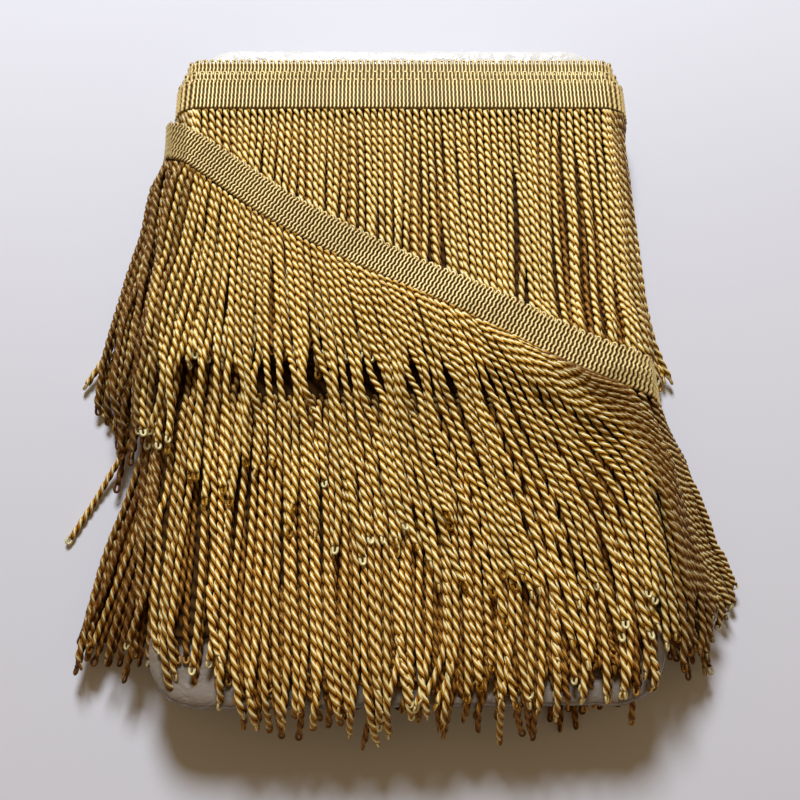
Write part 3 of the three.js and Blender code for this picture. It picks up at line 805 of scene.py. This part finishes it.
def crossingCordsFrom(least, shift):
    cords = []
    spacing = cordSet["spacing"]
    onFlank = np.interp(crossingSet["flank"], edgeQ, edgeAt)
    places = np.append(np.arange(spacing / 2 + shift, onFlank, spacing),
                       np.arange(onFlank + 2, edgeAt[-1], crossingSet["flankSpacing"] * spacing))
    rootU, rootY = onCrossing(places, crossingSet["width"] + crossingSet["below"])
    for number, (a, u, y) in enumerate(zip(places, rootU, rootY)):
        q = float(np.interp(a, edgeAt, edgeQ))
        if abs(q) < least:
            continue
        tipQ, tipY = (float(np.interp(q, turnRows[:, 0], turnRows[:, i])) for i in (2, 3))
        flat, foot = roundAt(crossingBed, [1.0, 2.0], y)
        own = u / flat if abs(u) < flat else math.copysign(1 + (abs(u) - flat) / (foot - flat), u)
        run = [(own, y), (tipQ, tipY)]
        if crossingSet["bendFrom"] < q < 1:
            bendY = float(np.interp(q, *shoulderRows.T))
            straight = own + (tipQ - own) * (bendY - y) / (tipY - y)
            share = min((q - crossingSet["bendFrom"]) / crossingSet["bendOver"], 1)
            run.insert(1, (straight + (1 - straight) * share, bendY))
        length = cordSet["length"] + chance.normal(0, crossingSet["uneven"])
        if q > crossingSet["footFrom"]:
            turns = roundAt(crossingBed, *np.array(run).T)
            toFoot = farAlong(turns, [y for _, y in run])[-1]
            length = min(length, toFoot + chance.normal(0, crossingSet["unevenFoot"]))
        cords.append((number, run, length))
    chance.shuffle(cords)
    return sorted(cords, key=lambda cord: max(cord[1][0][0], crossingSet["bendFrom"]))


crossingPile = newPile(lambda y: -3.0)
cords = crossingCordsFrom(crossingSet["flank"], crossingSet["innerShift"])  # only on the flanks
crossingInner = layCords(crossingBed, crossingPile, cords, plainPattern, crossingUnder)
crossingPile = np.maximum(crossingPile, newPile(lambda y: -0.2))
cords = crossingCordsFrom(0, 0)
crossingOuter = layCords(crossingBed, crossingPile, cords, cordPattern, crossingLay)
# cords that splay out at the left foot
crossingOuter += [looseCord(cordPattern, places, (-0.7, 0, 0.7)) for places in (
    ((-113, 104, 24), (-119, 66, 20), (-128, 28, 14), (-140, 2, 6), (-151.5, -16, 2.5)),
    ((-113, 100, 18), (-121, 62, 15), (-131, 24, 10), (-138, -2, 5), (-141.5, -18, 2.5)),
    ((-114, 94, 24), (-121, 56, 20), (-129, 16, 14), (-133, -16, 8), (-134.5, -37, 3)),
    ((-113, 90, 28), (-118, 50, 25), (-124, 8, 19), (-128, -22, 12), (-129, -42, 6)))]
print("crossing turn laid")

joinedPiece("upperCords", upperOuter, litUpperYarn, "upper_fringe")
joinedPiece("lowerCords", lowerOuter, shadedLowerYarn, "lower_fringe")
joinedPiece("crossingCords", crossingOuter, cordYarn, "crossing_fringe")
# the cords underneath take the yarn painted dark as shade
joinedPiece("crossingUnderCords", crossingInner, innerShadeYarn, "crossing_fringe")
joinedPiece("upperInnerCords", upperInner, innerShadeYarn, "upper_windings")
joinedPiece("lowerInnerCords", lowerInner, innerShadeYarn, "lower_windings")

# headings, which lie a layer apart, each with its ribs over its ground
headingSet = {"width": 17, "layer": 2.1, "ribLift": 1.2, "groundLift": 0.35, "groundStep": 3,
              "groundRows": 4, "thickness": 0.5, "crossingRibLift": 1.5,
              "crossingGroundLift": 0.6}
# ribs zigzag across the heading, and each pair ends in a loop over its upper edge
ribSet = {"pitch": 3.7, "radius": 0.70, "rows": 5, "zigzag": 0.34, "swell": 0.16, "sides": 5,
          "steps": 17, "start": 0.9, "loopOut": 1.3, "loopWide": 1.2, "loopLift": 0.15}


# two ribs of a heading and the loop that joins them at its upper edge
def ribPair(width, zigzag):
    half = ribSet["pitch"] / 4
    steps = int(ribSet["steps"] * width / headingSet["width"])
    v = np.linspace(width, ribSet["start"], max(steps, 5))
    turn = 2 * math.pi * ribSet["rows"] * v / headingSet["width"]
    zig, high = zigzag * np.sin(turn), ribSet["swell"] * np.cos(2 * turn)
    first = np.stack([-half + zig, v, high], 1)
    second = np.stack([half + zig, v, high], 1)[::-1]
    t = np.linspace(0, math.pi, 5)[1:-1]
    top = np.stack([-half * np.cos(t) * ribSet["loopWide"],
                    ribSet["start"] - ribSet["loopOut"] * np.sin(t),
                    ribSet["loopLift"] + 0 * t], 1)
    bm = bmesh.new()
    bm.verts.layers.float_vector.new("fibre")
    tubeAlong(bm, np.concatenate([first, top, second]), ribSet["radius"], ribSet["sides"])
    bmesh.ops.recalc_face_normals(bm, faces=bm.faces)
    return asPattern(bm)


def ribs(name, tier, layout, length, width, zigzag, lift, node):
    pattern = ribPair(width, zigzag)
    parts = []
    pairs = int(round(length / ribSet["pitch"]))
    step = length / pairs
    for i in range(pairs):
        a, v, h = pattern["co"].T
        u, y = layout(a * step / ribSet["pitch"] + (i + 0.5) * step, v)
        parts.append((pattern, onPack(tier, u, y, lift + h)[0], chance.random()))
    return joinedPiece(name, parts, ribYarn, node)


# a heading that runs level round the upper tier with its upper edge at this y, and its length
def levelLayout(edge):
    half = roundAt(upperTier, nearlyRound, edge - 8)[0]
    return (lambda a, v: (a - half, edge - v + 0 * a)), 2 * half


# the woven ground under the ribs, a thin tape, painted dark as the shade between them
def tape(name, tier, layout, length, width, lift, closed, node):
    bm = bmesh.new()
    a = np.linspace(0, length, int(length / headingSet["groundStep"]), endpoint=not closed)
    rows = []
    for v in np.linspace(0.8, width, headingSet["groundRows"]):
        u, y = layout(a, v + 0 * a)
        rows.append(onPack(tier, u, y, lift + 0 * a)[0])
    first = [bm.verts.new(p) for p in rows[0]]
    edges = [bm.edges.new(pair) for pair in zip(first, first[1:] + (first[:1] if closed else []))]
    for row in rows[1:]:
        made, edges = grown(bm, edges)
        for v, p in zip(made, row):
            v.co = p
    bmesh.ops.recalc_face_normals(bm, faces=bm.faces)
    bmesh.ops.solidify(bm, geom=bm.faces[:], thickness=headingSet["thickness"])
    return bmeshPiece(name, bm, groundShadeYarn, node)


# the ground is painted dark, as the shade between the ribs
groundShadeYarn, nodes, links = newFinish("heading ground painted in shade")
shader = nodes["Principled BSDF"]
weave = noiseNode(nodes, links, 900)
links.new(colourMix(nodes, links, weave, (0.06, 0.035, 0.008), (0.20, 0.13, 0.04)),
          shader.inputs["Base Color"])
setInputs(shader, {"Roughness": 0.7})

for node, name, edge, turn, width, zigzag in (
        ("first_heading", "firstHeading", 149.5, 0, 9.5, 0.12),
        ("second_heading", "secondHeading", 141.0, 1, 7.5, 0.12),
        ("outer_heading", "outerHeading", 134.6, 2, 17, 0.14)):
    layout, length = levelLayout(edge)
    out = headingSet["layer"] * turn
    piece = ribs(name + "Ribs", upperTier, layout, length, width, zigzag,
                 headingSet["ribLift"] + out, node)
    ground = tape(name + "Ground", upperTier, layout, length, headingSet["width"],
                  headingSet["groundLift"] + out, True, node)
length, width = edgeAt[-1], crossingSet["width"]
piece = ribs("crossingHeadingRibs", crossingBed, onCrossing, length, width, ribSet["zigzag"],
             headingSet["crossingRibLift"], "crossing_heading")
ground = tape("crossingHeadingGround", crossingBed, onCrossing, length, width,
              headingSet["crossingGroundLift"], False, "crossing_heading")

# the core lies deep under the cords but less so at the shoulders, and its sides draw in at the end
coreSet = {"ridge": 0.7, "across": 4, "step": 6, "depth": 3.4, "shoulderDepth": 0.6,
           "shoulderReach": 7, "sideFrom": 1.4, "sideDepth": 4}


# the body of earlier turns, painted dark as the shade deep under the cords, and ribbed like the
# cords that cover it. Between the two places given it rises to the shallow depth at its far end.
def woundCore(name, tier, start, end, places, shallow, node):
    half = roundAt(tier, nearlyRound, start)[0]
    ribsRound = int(2 * half / ribSet["pitch"])
    count = ribsRound * coreSet["across"]
    turn = (np.arange(count) + 0.5) / count
    ridge = coreSet["ridge"] * np.abs(np.sin(math.pi * ribsRound * turn))
    bm = bmesh.new()
    edges = []
    for y in np.append(np.arange(start, end, -coreSet["step"]), end):
        u = (2 * turn - 1) * roundAt(tier, nearlyRound, y)[0]
        under = np.interp(y, places, [coreSet["depth"], shallow])
        shoulder = halfSections(tier, np.array([1.0]), np.array([y]))[2][0, 2]
        near = np.exp(-((np.abs(u) - shoulder) / coreSet["shoulderReach"]) ** 2)
        under = under - (under - coreSet["shoulderDepth"]) * near
        drawnIn = np.interp(y, [-132, -120], [coreSet["sideDepth"], 0])
        under = under + drawnIn * (np.abs(u) > coreSet["sideFrom"] * shoulder)
        rim = onPack(tier, u, np.full(count, y), ridge - under)[0]
        if edges:
            ring, edges = grown(bm, edges)
        else:
            ring = bmesh.ops.create_circle(bm, cap_ends=True, segments=count, radius=1)["verts"]
            edges = list(bm.edges)
        for v, p in zip(ring, rim):
            v.co = (p[0], p[1], max(p[2], 0.1))
    bmesh.ops.holes_fill(bm, edges=edges, sides=0)
    return bmeshPiece(name, bm, coreShadeYarn, node)


# the inner turns, painted nearly black as the shade deep under the cords
coreShadeYarn, nodes, links = newFinish("inner turns painted in shade")
shader = nodes["Principled BSDF"]
place = nodes.new("ShaderNodeTexCoord")
plies = nodes.new("ShaderNodeTexWave")
plies.wave_type = "BANDS"
plies.bands_direction = "DIAGONAL"
setInputs(plies, {"Scale": 110, "Distortion": 2})
links.new(place.outputs["Object"], plies.inputs["Vector"])
links.new(colourMix(nodes, links, plies.outputs["Fac"], (0.02, 0.008, 0.001), (0.10, 0.045, 0.009)),
          shader.inputs["Base Color"])
setInputs(shader, {"Roughness": 0.85, "Specular IOR Level": 0.1})
woundCore("upperWoundCore", upperTier, 132, -14, (100, 118), 1.8, "upper_windings")
woundCore("lowerWoundCore", lowerTier, -11, -132, (-42, -34), 1.3, "lower_windings")

# the card in its clear film, which is creased where it folds round the ends
cardSet = {"corner": 22, "bend": 8, "longSide": 40, "shortSide": 60,  # a radius, then steps
           "crease": 0.9, "creaseFrom": 148, "creaseOver": 5}


# a rounded rectangle that lies the given way inside the card's edge
def cardOutline(inset):
    halfX = (cardHigh.x - cardLow.x) / 2 / mm - inset
    halfY = (cardHigh.y - cardLow.y) / 2 / mm - inset
    corner = max(cardSet["corner"] - inset, 1.0)
    places = []
    for turn, (signX, signY) in enumerate(((1, 1), (-1, 1), (-1, -1), (1, -1))):
        for angle in np.linspace(0, math.pi / 2, cardSet["bend"] + 1) + turn * math.pi / 2:
            places.append((signX * (halfX - corner) + corner * math.cos(angle),
                           signY * (halfY - corner) + corner * math.sin(angle)))
        after = {0: (-(halfX - corner), halfY), 1: (-halfX, -(halfY - corner)),
                 2: (halfX - corner, -halfY), 3: (halfX, halfY - corner)}[turn]
        count = cardSet["shortSide"] if turn % 2 == 0 else cardSet["longSide"]
        places += [tuple(p) for p in np.linspace(places[-1], after, count + 2)[1:-1]]
    return places


# how far the film stands off the card, in folds that run in from the ends
def crease(x, y, z):
    near = min(max((abs(y) - cardSet["creaseFrom"]) / cardSet["creaseOver"], 0), 1)
    folds = noise.noise(Vector((x / 7, y / 16, z / 9)))
    folds += 0.5 * noise.noise(Vector((x / 3, y / 7, z / 5 + 9)))
    return cardSet["crease"] * near * (0.35 + max(0.7 - 2.2 * abs(folds), -0.3))


cardDown, cardUp = cardLow.z / mm, cardHigh.z / mm
# inset and height of each ring, and how much of the crease moves it out and up
cardRings = (
    (9, cardDown, 0, 0), (1.5, cardDown, 0, -0.3), (0.3, cardDown + 0.8, 0.4, 0),
    (0, cardDown + 3.3, 1, 0), (0, cardDown + 6.6, 1, 0), (0.3, cardUp - 0.8, 0.6, 0.4),
    (1.4, cardUp - 0.1, 0, 0.8), (3, cardUp, 0, 1), (5, cardUp, 0, 1),
    (7.5, cardUp, 0, 1), (10.5, cardUp, 0, 0.8), (14, cardUp, 0, 0))
bm = bmesh.new()
count = len(cardOutline(0))
ring = bmesh.ops.create_circle(bm, cap_ends=True, segments=count, radius=1)["verts"]
edges = list(bm.edges)
for row, (inset, z, side, lift) in enumerate(cardRings):
    if row > 0:
        ring, edges = grown(bm, edges)
    for v, (x, y) in zip(ring, cardOutline(inset)):
        off = crease(x, y, z)
        out = 1 + side * off / math.hypot(x, y)
        v.co = (x * out, y * out, z + lift * off)
bmesh.ops.holes_fill(bm, edges=edges, sides=0)

filmed, nodes, links = newFinish("card in clear film")
shader = nodes["Principled BSDF"]
wrinkles = noiseNode(nodes, links, 130, distortion=1.5)
stain = noiseNode(nodes, links, 25)
# the card's own colour, and towards its near end painted shade from the cords' ends over it
cardOwnColour = colourMix(nodes, links, stain, (0.70, 0.67, 0.58), (0.86, 0.84, 0.79))
nearEndShade = colourMix(nodes, links, stain, (0.13, 0.098, 0.066), (0.34, 0.285, 0.225))
place = nodes.new("ShaderNodeTexCoord")
apart = nodes.new("ShaderNodeSeparateXYZ")
links.new(place.outputs["Object"], apart.inputs["Vector"])
shadedNearEnd = rangeNode(nodes, links, apart.outputs["Y"], 0.05, -0.10)  # metres along the card
links.new(colourMix(nodes, links, shadedNearEnd, cardOwnColour, nearEndShade), shader.inputs["Base Color"])
wrinkled = bumpNode(nodes, links, wrinkles, 0.6, 0.0012)
links.new(wrinkled, shader.inputs["Normal"])
links.new(wrinkled, shader.inputs["Coat Normal"])
setInputs(shader, {"Roughness": 0.5, "Coat Weight": 0.8, "Coat Roughness": 0.12})
bmeshPiece("filmedCard", bm, filmed, "card")

# the floor and the light
bm = bmesh.new()
bmesh.ops.create_grid(bm, x_segments=1, y_segments=1, size=3)
floorMesh = bpy.data.meshes.new("floor")
bm.to_mesh(floorMesh)
bm.free()
paleFloor, nodes, links = newFinish("pale floor")
# faint lighter and darker patches, painted as the shade of soft folds in the sheet
folds = noiseNode(nodes, links, 4, detail=1)
shader = nodes["Principled BSDF"]
links.new(colourMix(nodes, links, folds, (0.71, 0.71, 0.74), (0.78, 0.78, 0.80)),
          shader.inputs["Base Color"])
setInputs(shader, {"Roughness": 0.9})
floorMesh.materials.append(paleFloor)
linkedObject("floor", floorMesh)

windowSet = {"azimuth": -4, "elevation": 44, "distance": 1.6, "size": 0.5, "power": 31,
             "colour": (0.84, 0.89, 1.0)}
light = bpy.data.lights.new("window", "AREA")
light.shape = "DISK"
light.size = windowSet["size"]
light.energy = windowSet["power"]
light.color = windowSet["colour"]
window = linkedObject("window", light)
azimuth, elevation = (math.radians(windowSet[k]) for k in ("azimuth", "elevation"))
way = Vector((math.sin(azimuth) * math.cos(elevation), math.cos(azimuth) * math.cos(elevation),
              math.sin(elevation)))
window.location = way * windowSet["distance"]
window.rotation_euler = way.to_track_quat("Z", "Y").to_euler()

world = bpy.data.worlds.new("room")
bpy.context.scene.world = world
world.use_nodes = True
setInputs(world.node_tree.nodes["Background"], {"Color": (1, 0.70, 0.38, 1), "Strength": 0.21})
bpy.context.scene.view_settings.view_transform = "Standard"
